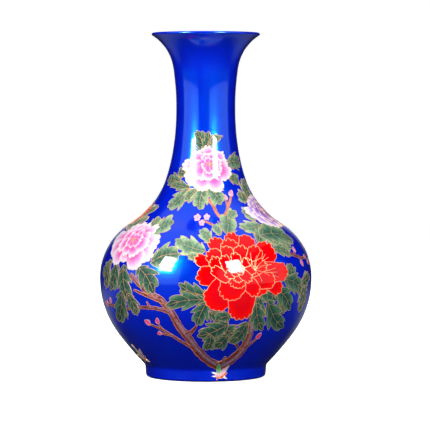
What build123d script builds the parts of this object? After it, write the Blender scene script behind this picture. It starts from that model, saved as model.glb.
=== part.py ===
"""A cloisonne vase: copper sections brazed into one vessel, coated with enamel and decorated with peonies.

All lengths are millimetres and all angles degrees. +Z is up, and the origin is the centre of the face that
the foot stands on. A place on the wall is an azimuth and a height: azimuth 0 is the front (-Y) and 90 is +X.
"""

from build123d import *
from math import atan, cos, degrees, radians, sin
import os

# --- driving dimensions -----------------------------------------------------------------------------

HEIGHT = 350.0
BELLY_RADIUS = 108.0
FOOT_FACE_OUTER = 59.2  # the bare copper ring that the vase stands on
FOOT_BORE = 54.0
SEAM = (0.3,)  # a straight stretch of filler metal between two copper sections

ENAMEL = 0.8  # thickness of every coat of enamel
COPPER = 1.5  # thickness of the spun sheet
LIP_ROUND = ENAMEL + COPPER / 2  # the lip is a half round as thick as the wall
DEPTH_COPPER = ENAMEL
DEPTH_LINING = ENAMEL + COPPER
DEPTH_INSIDE = ENAMEL + COPPER + ENAMEL

# The outside of the wall, from the belly up and from the belly down, as tangent arcs of (radius, turn).
# A positive turn bulges outwards, and a negative one is a hollow curve.
SHOULDER_ARCS = [(65.5, 58.5), (85.0, -40.5)]
NECK_ARCS = [(190.0, -10.0), (275.0, -16.7), (46.0, -49.5)]
BELLY_ARCS = [(94.0, 36.5), (287.0, 8.0)]
FOOT_HOLLOW = (5.0, -39.5)
FOOT_CORNER_RADIUS = 3.0
FOOT_CORNER_ENAMELLED = 51.4  # how far the enamel follows the turn of the foot's bottom corner

FLOOR_HEIGHT = 12.0  # top of the base plate
PLATE_THICKNESS = 1.5
PLATE_CLEARANCE = 0.3  # gap round the base plate, filled with braze

CELL_RISE = 0.25  # how far the decoration's enamel stands above the blue ground
WIRE_RISE = 0.4
WIRE_WIDTH = 0.8
SMALLEST_PIECE = 1.0  # volume under which an offcut between two motifs is left out
DRAWING_DEPTH = 1.2 * BELLY_RADIUS
PATCH_ARC = 170.0

# --- the decoration ---------------------------------------------------------------------------------

# Each peony: its centre (azimuth, height), and half its width and height.
PEONIES = {
    "red_peony": ((22, 110), 50, 42),
    "neck_peony": ((0, 212), 26, 23),
    "left_peony": ((-52, 138), 36, 24),
    "lilac_peony": ((68, 170), 24, 17),
    "shoulder_peony": ((-100, 166), 24, 17),
    "back_peony": ((172, 112), 46, 40),
    "back_neck_peony": ((180, 214), 24, 20),
    "back_left_peony": ((118, 132), 30, 22),
}

# Each flower is a round heart over one ring of lobed petals. Radii are shares of the flower's half size.
HEART_RADIUS = 0.4
PETAL_COUNT = 7
PETAL_ROOT = 0.2
PETAL_END = 0.98
PETAL_LOBES = 2
FIRST_PETAL = 12.0
PETAL_OVERLAP = 1.15  # a petal's angle, as a multiple of its share of the ring
LOBE_NOTCH = 0.88  # radius at the notch between two lobes, as a share of the petal's end

# Each leaf: its base, its tip and its width.
LEAVES = {
    "neck_leaves": [
        ((-6, 229), (-17, 251), 12),
        ((-3, 229), (5, 250), 9),
        ((6, 236), (33, 245), 7),
        ((36, 219), (72, 216), 13),
        ((34, 203), (54, 199), 10),
        ((-31, 209), (-46, 206), 9),
        ((-38, 198), (-70, 199), 11),
        ((-20, 192), (-54, 196), 9),
        ((-23, 191), (-44, 177), 14),
        ((-14, 191), (-24, 181), 10),
        ((0, 193), (-8, 173), 14),
        ((5, 192), (14, 177), 15),
    ],
    "upper_leaves": [
        ((3, 142), (-1, 153), 9),
        ((9, 148), (6, 156), 7),
        ((13, 150), (22, 166), 15),
        ((20, 164), (31, 170), 9),
        ((0, 133), (-19, 143), 15),
        ((-4, 124), (-10, 129), 7),
        ((45, 156), (25, 154), 10),
        ((38, 140), (58, 136), 16),
        ((36, 146), (54, 153), 12),
        ((45, 130), (56, 124), 9),
        ((50, 168), (37, 169), 10),
        ((56, 184), (42, 187), 11),
        ((62, 188), (85, 196), 13),
    ],
    "left_leaves": [
        ((-46, 155), (-44, 163), 9),
        ((-38, 150), (-26, 160), 13),
        ((-31, 122), (-14, 129), 16),
        ((-62, 120), (-74, 108), 10),
        ((-57, 119), (-62, 90), 12),
        ((-50, 116), (-46, 82), 15),
        ((-39, 115), (-26, 92), 15),
        ((-50, 90), (-62, 60), 14),
        ((-44, 86), (-41, 68), 9),
        ((-80, 162), (-58, 174), 8),
        ((-80, 158), (-58, 162), 9),
    ],
    "lower_leaves": [
        ((0, 92), (-13, 101), 13),
        ((-2, 84), (-22, 79), 11),
        ((1, 80), (-6, 61), 11),
        ((11, 61), (-4, 48), 14),
        ((2, 50), (-1, 37), 9),
        ((9, 49), (8, 36), 9),
        ((21, 62), (17, 42), 12),
    ],
    "right_leaves": [
        ((29, 93), (40, 84), 11),
        ((29, 80), (36, 53), 11),
        ((37, 82), (53, 54), 15),
        ((40, 94), (54, 73), 12),
        ((50, 112), (60, 112), 12),
        ((48, 100), (68, 68), 14),
        ((64, 98), (76, 97), 11),
    ],
    "back_leaves": [
        ((196, 134), (212, 142), 15),
        ((148, 132), (138, 146), 13),
        ((150, 92), (134, 72), 15),
        ((196, 92), (212, 74), 15),
        ((178, 72), (186, 48), 14),
        ((166, 72), (158, 50), 13),
        ((98, 120), (84, 110), 13),
        ((120, 110), (108, 84), 14),
        ((132, 150), (140, 160), 10),
        ((206, 212), (232, 216), 12),
        ((154, 212), (128, 208), 12),
        ((176, 194), (168, 174), 14),
        ((186, 194), (198, 176), 14),
        ((182, 232), (188, 252), 12),
    ],
}

# Each branch: the places that its middle passes through, and its width at the start and at the end.
BRANCHES = [
    ([(6, 17), (-5, 30), (-12, 46), (-18, 66), (-21, 80), (-30, 90), (-40, 100), (-48, 112)], 9, 4),
    ([(-20, 72), (-28, 77), (-38, 77), (-46, 80)], 4, 2.5),
    ([(-6, 34), (-18, 43), (-25, 55), (-35, 62)], 4, 2),
    ([(7, 17), (18, 22), (26, 34), (28, 50), (27, 70)], 9, 5),
    ([(26, 32), (31, 38), (35, 45)], 3, 2),
    ([(5, 181), (10, 172), (14, 163)], 3, 3),
    ([(15, 163), (22, 174), (27, 180), (34, 187)], 3, 2),
    ([(12, 152), (5, 159), (-1, 162)], 3, 2),
    ([(52, 128), (62, 128), (73, 122)], 4, 2),
    ([(180, 17), (172, 34), (176, 54), (172, 76)], 9, 6),
    ([(173, 38), (160, 48), (147, 62), (136, 80)], 5, 3),
]

# Each bud: its centre and its diameter.
BUDS = [
    (place, 5.5)
    for place in [(-35, 62), (-28, 64), (-28, 51), (35, 48), (24, 184), (34, 189), (-7, 165), (1, 165)]
    + [(62, 134), (65, 119), (76, 124), (79, 118), (-65, 81), (-71, 77), (150, 60), (136, 74)]
]

# Each butterfly: the middle of its body.
BUTTERFLIES = [(11, 9), (-64, 22), (190, 12)]
BUTTERFLY_WINGS = [((-1, 1), (-6, 9), 5), ((1, 1), (7, 8), 6), ((-1, 0), (-8, -1), 4), ((1, 0), (8, -2), 4)]
BUTTERFLY_BODY = ((-2, -2), (3, 1), 3)

# --- the wall's outline -----------------------------------------------------------------------------


class Stretch:
    """An arc or a straight of the outline. side is 1 where the path climbs and -1 where it goes down."""

    def __init__(self, r, z, heading, size, side):
        self.r, self.z, self.heading, self.side = r, z, heading, side
        self.straight = len(size) == 1
        self.size = size

    def heading_at(self, share):
        return self.heading if self.straight else self.heading + self.side * self.size[1] * share

    def at(self, share, depth=0.0):
        """The point at a share of the stretch, at a depth under the outside."""
        start, here = radians(self.heading), radians(self.heading_at(share))
        if self.straight:
            r = self.r + self.size[0] * share * cos(start)
            z = self.z + self.size[0] * share * sin(start)
        else:
            signed_radius = self.size[0] if self.side * self.size[1] > 0 else -self.size[0]
            r = self.r + signed_radius * (sin(here) - sin(start))
            z = self.z - signed_radius * (cos(here) - cos(start))
        return r - self.side * depth * sin(here), z + self.side * depth * cos(here)

    def bottom(self, depth=0.0):
        return self.at(0 if self.side > 0 else 1, depth)

    def top(self, depth=0.0):
        return self.at(1 if self.side > 0 else 0, depth)

    def edge(self, depth):
        low, middle, high = [Vector(r, 0, z) for r, z in (self.at(s, depth) for s in (0, 0.5, 1))]
        return Line(low, high) if self.straight else ThreePointArc(low, middle, high)


def march(height, sizes, side):
    """Tangent stretches one after another, starting upright at the belly's widest place."""
    stretches = []
    r, z, heading = BELLY_RADIUS, height, 90 * side
    for size in sizes:
        stretches.append(Stretch(r, z, heading, size, side))
        (r, z), heading = stretches[-1].at(1), stretches[-1].heading_at(1)
    return stretches


def outline():
    """The outside of the wall from the foot's bottom corner to the lip, in order of height."""
    upward = [SEAM, *SHOULDER_ARCS, SEAM, *NECK_ARCS]
    downward = [*BELLY_ARCS, SEAM, FOOT_HOLLOW]
    lip_height = march(0, upward, 1)[-1].at(1, LIP_ROUND)[1] + LIP_ROUND
    belly_height = HEIGHT - lip_height
    # A straight side takes up the height that is left between the foot's hollow and its corner.
    hollow = march(belly_height, downward, -1)[-1]
    lean = radians(hollow.heading_at(1))
    side_length = (hollow.at(1)[1] - FOOT_CORNER_RADIUS * (1 + cos(lean))) / -sin(lean)
    downward += [(side_length,), (FOOT_CORNER_RADIUS, FOOT_CORNER_ENAMELLED)]
    return march(belly_height, downward, -1)[::-1] + march(belly_height, upward, 1)


WALL = outline()
FOOT_PART, FOOT_SEAM, BELLY_PART, BELLY_SEAM = WALL[0:3], WALL[3:4], WALL[4:6], WALL[6:7]
SHOULDER_PART, NECK_SEAM, NECK_PART = WALL[7:9], WALL[9:10], WALL[10:13]
DECORATED = WALL[1:]


def radius_at(height):
    """The radius of the outside at a height."""
    stretch = next(s for s in WALL if s.top()[1] >= height)
    low, high = (0, 1) if stretch.side > 0 else (1, 0)
    for _ in range(30):
        middle = (low + high) / 2
        low, high = (middle, high) if stretch.at(middle)[1] < height else (low, middle)
    return stretch.at(middle)[0]


# --- the vessel -------------------------------------------------------------------------------------


def joined(*points):
    corners = [Vector(r, 0, z) for r, z in points]
    return [Line(a, b) for a, b in zip(corners, corners[1:])]


def spun(edges, arc=360.0):
    """The closed outline that the edges make, turned round the axis."""
    return revolve(make_face(edges), Axis.Z, arc)


def coat(stretches, outer, inner, arc=360.0):
    """The layer of the wall between two depths."""
    first, last = stretches[0], stretches[-1]
    return spun(
        [s.edge(outer) for s in stretches]
        + [s.edge(inner) for s in stretches]
        + joined(first.bottom(outer), first.bottom(inner))
        + joined(last.top(outer), last.top(inner)),
        arc,
    )


def sheet(stretches):
    return coat(stretches, DEPTH_COPPER, DEPTH_LINING)


def foot_ring():
    """The heavy ring under the belly. Its outside follows the wall, and its bore takes the base plate."""
    return spun(
        [s.edge(DEPTH_COPPER) for s in FOOT_PART]
        + joined(
            FOOT_PART[-1].top(DEPTH_COPPER),
            FOOT_PART[-1].top(DEPTH_LINING),
            (FOOT_BORE, FLOOR_HEIGHT),
            (FOOT_BORE, 0),
            (FOOT_FACE_OUTER, 0),
            FOOT_PART[0].bottom(DEPTH_COPPER),
        )
    )


def plate(radius, bottom, top):
    return spun(joined((0, bottom), (radius, bottom), (radius, top), (0, top), (0, bottom)))


def plate_rim(inner, outer, bottom, top):
    return spun(joined((inner, bottom), (outer, bottom), (outer, top), (inner, top), (inner, bottom)))


def half_round(outer, inner=0.0):
    """The rounded end of the wall past its last edge, from an inner to an outer radius about its middle."""
    neck_end = WALL[-1]
    lean = radians(neck_end.heading_at(1))
    middle_r, middle_z = neck_end.top(LIP_ROUND)

    def place(radius, quarter):
        angle = lean + radians(90 * quarter)
        return middle_r + radius * cos(angle), middle_z + radius * sin(angle)

    def arc(radius):
        return ThreePointArc(*[Vector(r, 0, z) for r, z in (place(radius, q) for q in (-1, 0, 1))])

    if inner == 0:
        return spun([arc(outer)] + joined(place(outer, -1), place(outer, 1)))
    sides = [joined(place(inner, q), place(outer, q)) for q in (-1, 1)]
    return spun([arc(outer), arc(inner)] + sides[0] + sides[1])


def lining():
    """The coat inside the vase, from the lip to the floor and across it."""
    stretches = FOOT_SEAM + BELLY_PART + BELLY_SEAM + SHOULDER_PART + NECK_SEAM + NECK_PART
    floor_top = FLOOR_HEIGHT + ENAMEL
    return spun(
        [s.edge(DEPTH_LINING) for s in stretches]
        + [s.edge(DEPTH_INSIDE) for s in stretches]
        + joined(stretches[-1].top(DEPTH_LINING), stretches[-1].top(DEPTH_INSIDE))
        + joined(
            stretches[0].bottom(DEPTH_LINING),
            (FOOT_BORE, FLOOR_HEIGHT),
            (0, FLOOR_HEIGHT),
            (0, floor_top),
            (FOOT_BORE, floor_top),
            stretches[0].bottom(DEPTH_INSIDE),
        )
    )


def vessel():
    plate_bottom = FLOOR_HEIGHT - PLATE_THICKNESS
    plate_radius = FOOT_BORE - PLATE_CLEARANCE
    return {
        "neck_shell": sheet(NECK_PART),
        "shoulder_shell": sheet(SHOULDER_PART),
        "belly_shell": sheet(BELLY_PART),
        "foot_ring": foot_ring(),
        "base_plate": plate(plate_radius, plate_bottom, FLOOR_HEIGHT),
        "lip_ring": half_round(COPPER / 2),
        "neck_braze": sheet(NECK_SEAM),
        "belly_braze": sheet(BELLY_SEAM),
        "foot_braze": sheet(FOOT_SEAM),
        "base_braze": plate_rim(plate_radius, FOOT_BORE, plate_bottom, FLOOR_HEIGHT),
        "ground_enamel": coat(WALL, 0, DEPTH_COPPER),
        "lip_enamel": half_round(LIP_ROUND, COPPER / 2),
        "lining_enamel": lining(),
        "base_enamel": plate(FOOT_BORE, plate_bottom - ENAMEL, plate_bottom),
    }


# --- cells of enamel with a wire round them ---------------------------------------------------------


def drawing_plane(facing):
    a = radians(facing)
    return Plane(origin=(0, 0, 0), x_dir=(cos(a), sin(a), 0), z_dir=(sin(a), -cos(a), 0))


def drawn(place, facing):
    """Where a place on the wall falls in the drawing plane that faces an azimuth."""
    azimuth, height = place
    return Vector(radius_at(height) * sin(radians(azimuth - facing)), height)


def prism(face, facing):
    return extrude(drawing_plane(facing) * face, amount=DRAWING_DEPTH)


def stacked(pairs):
    """What shows of a pile of (outline, cell) pairs, the top one first: its cells, and its whole outline."""
    cells, covered = [], None
    for face, cell in pairs:
        if covered is not None:
            cell = cell - covered
        cells += cell.faces()
        covered = face if covered is None else covered + face
    return cells, covered


def petal(middle, half_width, half_height, direction, inset):
    """A petal that opens outwards from the flower's middle and ends in round lobes."""
    outer = PETAL_END - inset / half_height
    inner = PETAL_ROOT + 2 * inset / half_height
    spread = 360 / PETAL_COUNT * PETAL_OVERLAP - 2 * degrees(inset / (half_height * outer))

    def point(angle, radius):
        a = radians(angle)
        return Vector(middle.X + half_width * radius * cos(a), middle.Y + half_height * radius * sin(a))

    start, step = direction - spread / 2, spread / PETAL_LOBES
    notches = [point(start + i * step, outer * LOBE_NOTCH) for i in range(PETAL_LOBES + 1)]
    crests = [point(start + (i + 0.5) * step, outer) for i in range(PETAL_LOBES)]
    base = point(direction, inner)
    lobed_edge = [ThreePointArc(a, crest, b) for a, crest, b in zip(notches, crests, notches[1:])]
    return make_face([Line(base, notches[0])] + lobed_edge + [Line(notches[-1], base)])


def heart(middle, half_width, half_height, inset):
    """The round of small petals in the middle of a flower."""
    radii = [HEART_RADIUS * size - inset for size in (half_width, half_height)]
    return Pos(middle.X, middle.Y) * Ellipse(*radii)


def with_cell(shape, *size):
    """An outline, and the cell that its wire leaves inside it."""
    return shape(*size, 0), shape(*size, WIRE_WIDTH)


def peony(place, half_width, half_height):
    """The azimuth that a flower is drawn on, and its heart and petals."""
    size = (drawn(place, place[0]), half_width, half_height)
    directions = [FIRST_PETAL + i * 360 / PETAL_COUNT for i in range(PETAL_COUNT)]
    return place[0], [with_cell(heart, *size)] + [with_cell(petal, *size, angle) for angle in directions]


def blade(base, tip, width, inset):
    """A leaf or a wing: two arcs from its base to its tip."""
    length = (tip - base).length
    along = (tip - base).normalized()
    shorter = inset / sin(2 * atan(width / length))
    base, tip = base + along * shorter, tip - along * shorter
    across = along.rotate(Axis.Z, 90) * (width / 2 - inset)
    middle = (base + tip) / 2
    return make_face([ThreePointArc(base, middle + across, tip), ThreePointArc(tip, middle - across, base)])


def leaf(base, tip, width):
    facing = (base[0] + tip[0]) / 2
    return facing, [with_cell(blade, drawn(base, facing), drawn(tip, facing), width)]


def limb(middles, start_width, end_width, inset):
    """A tapering strip whose two sides are smooth curves."""
    last = len(middles) - 1
    left, right = [], []
    for i, here in enumerate(middles):
        along = middles[min(i + 1, last)] - middles[max(i - 1, 0)]
        half_width = (start_width + (end_width - start_width) * i / last) / 2 - inset
        across = along.rotate(Axis.Z, 90).normalized() * half_width
        left.append(here + across)
        right.append(here - across)
    sides = [Spline(*left), Spline(*right)]
    return make_face(sides + [Line(left[0], right[0]), Line(left[-1], right[-1])])


def branch(places, start_width, end_width):
    facing = (places[0][0] + places[-1][0]) / 2
    return facing, [with_cell(limb, [drawn(place, facing) for place in places], start_width, end_width)]


def round_bud(middle, diameter, inset):
    return Pos(middle.X, middle.Y) * Circle(diameter / 2 - inset)


def bud(place, diameter):
    return place[0], [with_cell(round_bud, drawn(place, place[0]), diameter)]


def butterfly(place):
    middle = drawn(place, place[0])
    shapes = [BUTTERFLY_BODY] + BUTTERFLY_WINGS
    return place[0], [
        with_cell(blade, middle + Vector(*base), middle + Vector(*tip), width) for base, tip, width in shapes
    ]


def motifs():
    """Every motif as (node group, azimuth, outlines with cells), from the top of the pile down."""
    for place in BUTTERFLIES:
        yield ("butterfly", *butterfly(place))
    for name, (place, half_width, half_height) in PEONIES.items():
        yield (name, *peony(place, half_width, half_height))
    for name, leaves in LEAVES.items():
        for base, tip, width in leaves:
            yield (name, *leaf(base, tip, width))
    for place, diameter in BUDS:
        yield ("bud", *bud(place, diameter))
    for places, start_width, end_width in BRANCHES:
        yield ("branch", *branch(places, start_width, end_width))


def touches(a, b):
    """Whether two boxes overlap."""
    return all(
        low < high
        for low, high in [
            (a.min.X, b.max.X), (b.min.X, a.max.X), (a.min.Y, b.max.Y),
            (b.min.Y, a.max.Y), (a.min.Z, b.max.Z), (b.min.Z, a.max.Z),
        ]
    )


def patch(box, facing, rise):
    """A layer on the wall that covers a flat outline's box, on the side of the vase that it faces."""
    stretches = [s for s in DECORATED if s.top()[1] > box.min.Y and s.bottom()[1] < box.max.Y]
    layer = coat(stretches, -rise, 0, arc=PATCH_ARC)
    return Rot(0, 0, facing - 90 - PATCH_ARC / 2) * layer


def decoration():
    """The cells and wires of every motif, as solids that stand on the ground enamel, by node."""
    nodes, above = {}, []
    for group, facing, pairs in motifs():
        cells, whole = stacked(pairs)
        wires = (whole - cells).faces()
        box = whole.bounding_box()
        wire_layer = patch(box, facing, WIRE_RISE)
        cell_layer = patch(box, facing, CELL_RISE)
        whole_prism = prism(whole, facing)
        whole_box = (whole_prism & wire_layer).bounding_box()
        covers = [cover for cover, box in above if touches(box, whole_box)]
        for kind, faces, layer in (("cells", cells, cell_layer), ("wires", wires, wire_layer)):
            for face in faces:
                solid = prism(face, facing) & layer
                for cover in covers:
                    solid = solid - cover
                pieces = [s for s in solid.solids() if s.volume > SMALLEST_PIECE]
                nodes.setdefault(f"{group}_{kind}", []).extend(pieces)
        above.append((whole_prism, whole_box))
    return {name: Compound(solids) for name, solids in nodes.items()}


def main():
    os.makedirs("parts", exist_ok=True)
    for name, shape in {**vessel(), **decoration()}.items():
        export_step(shape, f"parts/{name}.step")


main()
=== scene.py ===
"""The looks of a cloisonne vase: glossy enamel over copper, with gilt wire round every cell of the picture.

Sizes in the tables are millimetres and angles degrees. A place on the wall is (azimuth, height), where
azimuth 0 is the front (-Y) and 90 is +X. Each motif is drawn on the upright plane that faces its own azimuth,
where a point is (across, height).
"""

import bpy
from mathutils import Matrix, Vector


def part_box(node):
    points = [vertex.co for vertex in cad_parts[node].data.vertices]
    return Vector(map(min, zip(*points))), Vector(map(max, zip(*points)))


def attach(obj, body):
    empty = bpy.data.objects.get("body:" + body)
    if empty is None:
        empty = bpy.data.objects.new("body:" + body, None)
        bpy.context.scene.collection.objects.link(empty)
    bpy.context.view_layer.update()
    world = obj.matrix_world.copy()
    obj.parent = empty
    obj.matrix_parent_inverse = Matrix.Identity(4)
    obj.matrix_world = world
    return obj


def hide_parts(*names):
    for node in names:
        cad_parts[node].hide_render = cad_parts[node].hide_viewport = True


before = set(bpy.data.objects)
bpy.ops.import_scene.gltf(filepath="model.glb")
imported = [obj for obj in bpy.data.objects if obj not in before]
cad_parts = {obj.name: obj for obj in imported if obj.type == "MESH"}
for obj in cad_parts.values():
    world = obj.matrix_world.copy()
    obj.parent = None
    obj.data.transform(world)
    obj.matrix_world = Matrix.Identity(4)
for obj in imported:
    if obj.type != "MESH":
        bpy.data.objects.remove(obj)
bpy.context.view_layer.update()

import random
from math import atan, ceil, cos, hypot, pi, radians, sin

import bpy
import numpy as np
from mathutils import Vector
from mathutils.geometry import delaunay_2d_cdt

MM = 0.001

# Depths under the outside of the wall, and heights over it.
COAT = 0.8  # the blue enamel
COPPER = 1.5
LINING = 0.8
LIP_ROUND = (COAT + COPPER + LINING) / 2
CELL_RISE = 0.25  # the top of a cell's enamel
CELL_ROOT = 0.35  # how far a cell goes into the blue coat
WIRE_RISE = 0.38
WIRE_ROOT = 0.2

WIRE = 0.62  # width of the wire round a cell
FINE_WIRE = 0.34
LEAF_WIRE = 0.55
VEIN = 0.45

PETAL_FADE = 0.4  # the share of a petal's length over which its colour changes, from its edge
PETAL_SIDE = 0.82  # how far out a petal's corners are, as a share of its length
PETAL_SWELL = 0.07  # how far a petal's sides swell out, as a share of its width
NOTCH = (1.9, 0.16)  # depth between two lobes of a petal, and at most this share of its length
SCALLOP = (0.7, 0.05)  # the same for the small waves on a lobe
NARROW_ROOT, BROAD_ROOT = 0.25, 0.95  # how wide a petal is at its root, as a share of its width
STAMEN_TONE = 2.0  # the tone that marks stamens among the petals

# --- the picture: where everything is on the wall ---

# Each flower: the place of its heart, then its petals from the back to the front, as (azimuth of the tip,
# height of the tip, width, lobes of the edge, and the place of its root if that isn't the heart).
RED_PEONY = (
    (18, 112),
    [
        (16, 142, 50, 6, 19, 88), (35, 94, 40, 6, 10, 128), (17, 151, 20, 4, 17, 128),
        (4, 146, 19, 4, 11, 124), (28, 149, 21, 4, 23, 126), (42, 139, 29, 5, 27, 113),
        (-6, 127, 14, 3, 8, 116), (-5, 110, 22, 4, 12, 108), (44, 91, 18, 3, 33, 108),
        (50, 111, 20, 5, 28, 112), (1, 78, 33, 6, 14, 102), (19, 65, 31, 6, 20, 98),
        (14, 145, 24, 5, 15, 122), (1, 134, 19, 4, 12, 116), (12, 139, 15, 3, 13, 118),
        (21, 139, 18, 4, 19, 116), (31, 138, 19, 4, 25, 113), (40, 103, 18, 4, 24, 105),
        (29, 90, 17, 4, 22, 104), (11, 85, 35, 6, 16, 106), (3, 127, 14, 4, 11, 107),
        (3, 117, 12, 3, 12, 106), (16, 96, 28, 6, 18, 110), (35, 121, 15, 4, 22, 112),
        (9, 129, 13, 3, 13, 114), (17, 132, 12, 3, 17, 115), (24, 127, 12, 3, 21, 112),
        (28, 117, 11, 3, 20, 110), (10, 110, 12, 3, 17, 112), (17, 102, 13, 4, 18, 112),
        (25, 104, 12, 3, 19, 112), (13, 119, 10, 3, 17, 110), (20, 120, 10, 3, 18, 111),
    ],
)
# Loose stamens of the red flower: where they start and where they end.
RED_STAMENS = (
    (27, 114),
    [(23, 126), (26, 131), (29.5, 128), (33, 133), (37, 126), (38, 119), (31, 103), (36, 108)],
)
NECK_PEONY = (
    (7, 217),
    [
        (3, 236, 14, 4), (-13, 232, 9, 3), (-27, 226, 17, 4), (20, 231, 11, 3), (33, 228, 13, 4),
        (-40, 214, 17, 4), (39, 216, 13, 4), (-27, 197, 20, 4), (40, 204, 18, 4), (-10, 190, 20, 5),
        (16, 188, 18, 4), (-4, 228, 12, 3), (13, 229, 12, 3), (-20, 215, 15, 4), (27, 221, 12, 3),
        (-16, 203, 17, 4), (24, 207, 15, 4), (3, 200, 17, 4), (0, 224, 9, 3), (13, 223, 9, 3),
        (-7, 213, 11, 3), (20, 215, 9, 3), (3, 207, 12, 4), (14, 209, 9, 3),
    ],
)
LEFT_PEONY = (
    (-50, 142),
    [
        (-66, 152, 18, 4), (-58, 158, 16, 4), (-46, 158, 18, 4), (-35, 153, 18, 4), (-76, 141, 18, 4),
        (-29, 138, 20, 4), (-31, 125, 18, 4), (-70, 130, 20, 4), (-62, 119, 22, 5), (-52, 119, 16, 4),
        (-38, 115, 27, 6), (-64, 147, 14, 4), (-56, 153, 14, 3), (-45, 152, 14, 3), (-37, 146, 14, 3),
        (-62, 134, 16, 4), (-54, 127, 16, 4), (-42, 127, 20, 4), (-36, 136, 15, 3), (-57, 147, 10, 3),
        (-50, 149, 10, 3), (-43, 145, 10, 3), (-56, 138, 10, 3), (-49, 134, 12, 3), (-43, 138, 10, 3),
    ],
)
LILAC_PEONY = (
    (71, 170),
    [
        (60, 184, 13, 3), (72, 186, 13, 3), (84, 184, 13, 3), (51, 178, 14, 4), (96, 177, 14, 3),
        (42, 166, 16, 4), (100, 165, 14, 3), (49, 159, 17, 5), (60, 154, 18, 5), (73, 153, 18, 5),
        (88, 156, 16, 4), (58, 177, 11, 3), (70, 180, 11, 3), (82, 178, 11, 3), (52, 167, 12, 4),
        (90, 169, 12, 3), (60, 161, 13, 4), (72, 160, 13, 4), (84, 162, 13, 4), (64, 174, 8, 3),
        (76, 174, 8, 3), (71, 166, 9, 3),
    ],
)
# Those flowers, the front one last, with their colours.
DRAWN_PEONIES = {
    "lilac_peony": ("lilac", LILAC_PEONY),
    "left_peony": ("pink", LEFT_PEONY),
    "neck_peony": ("pink", NECK_PEONY),
    "red_peony": ("red", RED_PEONY),
}

# The flowers that have even rings: the colour, the place of the heart, half the width and half the height.
RINGED_PEONIES = {
    "back_left_peony": ("lilac", (118, 132), 30, 22),
    "back_neck_peony": ("pink", (180, 214), 24, 20),
    "shoulder_peony": ("red", (-96, 165), 29, 14),
    "back_peony": ("red", (172, 112), 46, 40),
}
# The rings of such a flower: how many petals, how far out, how wide as a share of that, lobes of each.
RINGS = [(9, 0.97, 0.8, 4), (8, 0.78, 0.85, 4), (7, 0.57, 0.95, 3), (6, 0.36, 1.1, 3), (4, 0.18, 1.3, 2)]

# Each leaf: its base, its tip, its width and how pale it is.
LEAVES = {
    "neck_leaves": [
        ((-3, 228), (-17, 251), 15, 0.1), ((-2, 229), (5, 250), 12, 0.1),
        ((5, 236), (33, 245), 8, 0.3), ((37, 218), (72, 217), 17, 0.3),
        ((35, 204), (54, 198), 12, 0.3), ((-31, 207), (-46, 208), 12, 0.2),
        ((-36, 198), (-69, 200), 14, 0.3), ((-20, 192), (-54, 196), 10, 0.3),
        ((-23, 192), (-43, 174), 18, 0.55), ((-12, 192), (-25, 181), 13, 0.55),
        ((0, 194), (-6, 172), 17, 0.6), ((4, 193), (17, 177), 18, 0.55),
    ],
    "upper_leaves": [
        ((33, 152), (60, 133), 24, 0.5), ((3, 141), (-4, 153), 12, 0.8),
        ((10, 148), (5, 158), 9, 0.8), ((14, 149), (20, 167), 18, 0.6),
        ((20, 163), (31, 170), 10, 0.7), ((0, 133), (-19, 144), 18, 0.8),
        ((-3, 124), (-10, 129), 9, 0.7), ((46, 157), (25, 155), 13, 0.8),
        ((33, 139), (42, 150), 13, 0.3), ((37, 147), (68, 140), 22, 0.35),
        ((42, 134), (56, 126), 12, 0.3), ((51, 166), (37, 170), 14, 0.6),
        ((56, 182), (42, 187), 14, 0.4), ((60, 180), (72, 202), 17, 0.35),
    ],
    "left_leaves": [
        ((-46, 154), (-43, 164), 14, 0.6), ((-38, 150), (-26, 160), 20, 0.7),
        ((-31, 121), (-14, 130), 21, 0.4), ((-63, 120), (-74, 107), 15, 0.15),
        ((-56, 120), (-62, 91), 19, 0.0), ((-50, 118), (-45, 82), 21, 0.0),
        ((-66, 119), (-68, 92), 17, 0.05), ((-39, 117), (-28, 91), 23, 0.0),
        ((-50, 92), (-62, 60), 20, 0.0), ((-46, 90), (-41, 68), 15, 0.0),
        ((-78, 160), (-57, 174), 11, 0.5), ((-80, 156), (-57, 162), 14, 0.6),
    ],
    "lower_leaves": [
        ((9, 60), (24, 50), 15, 0.0), ((2, 74), (12, 56), 15, 0.0),
        ((1, 91), (-14, 102), 17, 0.05), ((0, 86), (-22, 79), 17, 0.05),
        ((1, 84), (-5, 60), 17, 0.0), ((14, 70), (5, 64), 14, 0.0),
        ((13, 62), (-5, 49), 20, 0.0), ((3, 51), (0, 34), 14, 0.0),
        ((13, 51), (6, 36), 15, 0.0), ((24, 63), (16, 41), 17, 0.0),
    ],
    "right_leaves": [
        ((30, 90), (31, 62), 16, 0.0), ((44, 92), (46, 66), 16, 0.0),
        ((29, 93), (42, 84), 17, 0.0), ((28, 82), (36, 53), 17, 0.0),
        ((35, 84), (54, 54), 20, 0.0), ((39, 96), (54, 72), 20, 0.0),
        ((51, 104), (53, 119), 16, 0.1), ((46, 104), (64, 88), 20, 0.1),
        ((68, 100), (66, 68), 19, 0.1), ((62, 97), (76, 104), 15, 0.2),
    ],
    "back_leaves": [
        ((196, 134), (212, 142), 19, 0.6), ((148, 132), (138, 146), 17, 0.6),
        ((150, 92), (134, 72), 19, 0.1), ((196, 92), (212, 74), 19, 0.1),
        ((178, 76), (186, 48), 18, 0.1), ((166, 76), (158, 50), 17, 0.1),
        ((100, 122), (88, 132), 14, 0.2), ((120, 114), (108, 84), 18, 0.2),
        ((132, 150), (140, 162), 13, 0.7), ((206, 212), (228, 216), 15, 0.4),
        ((154, 212), (128, 208), 15, 0.4), ((176, 196), (168, 174), 18, 0.5),
        ((186, 196), (198, 176), 18, 0.5), ((182, 230), (188, 252), 15, 0.3),
    ],
}

YOUNG_WOOD = 140  # the height above which branches are young and pale
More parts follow.
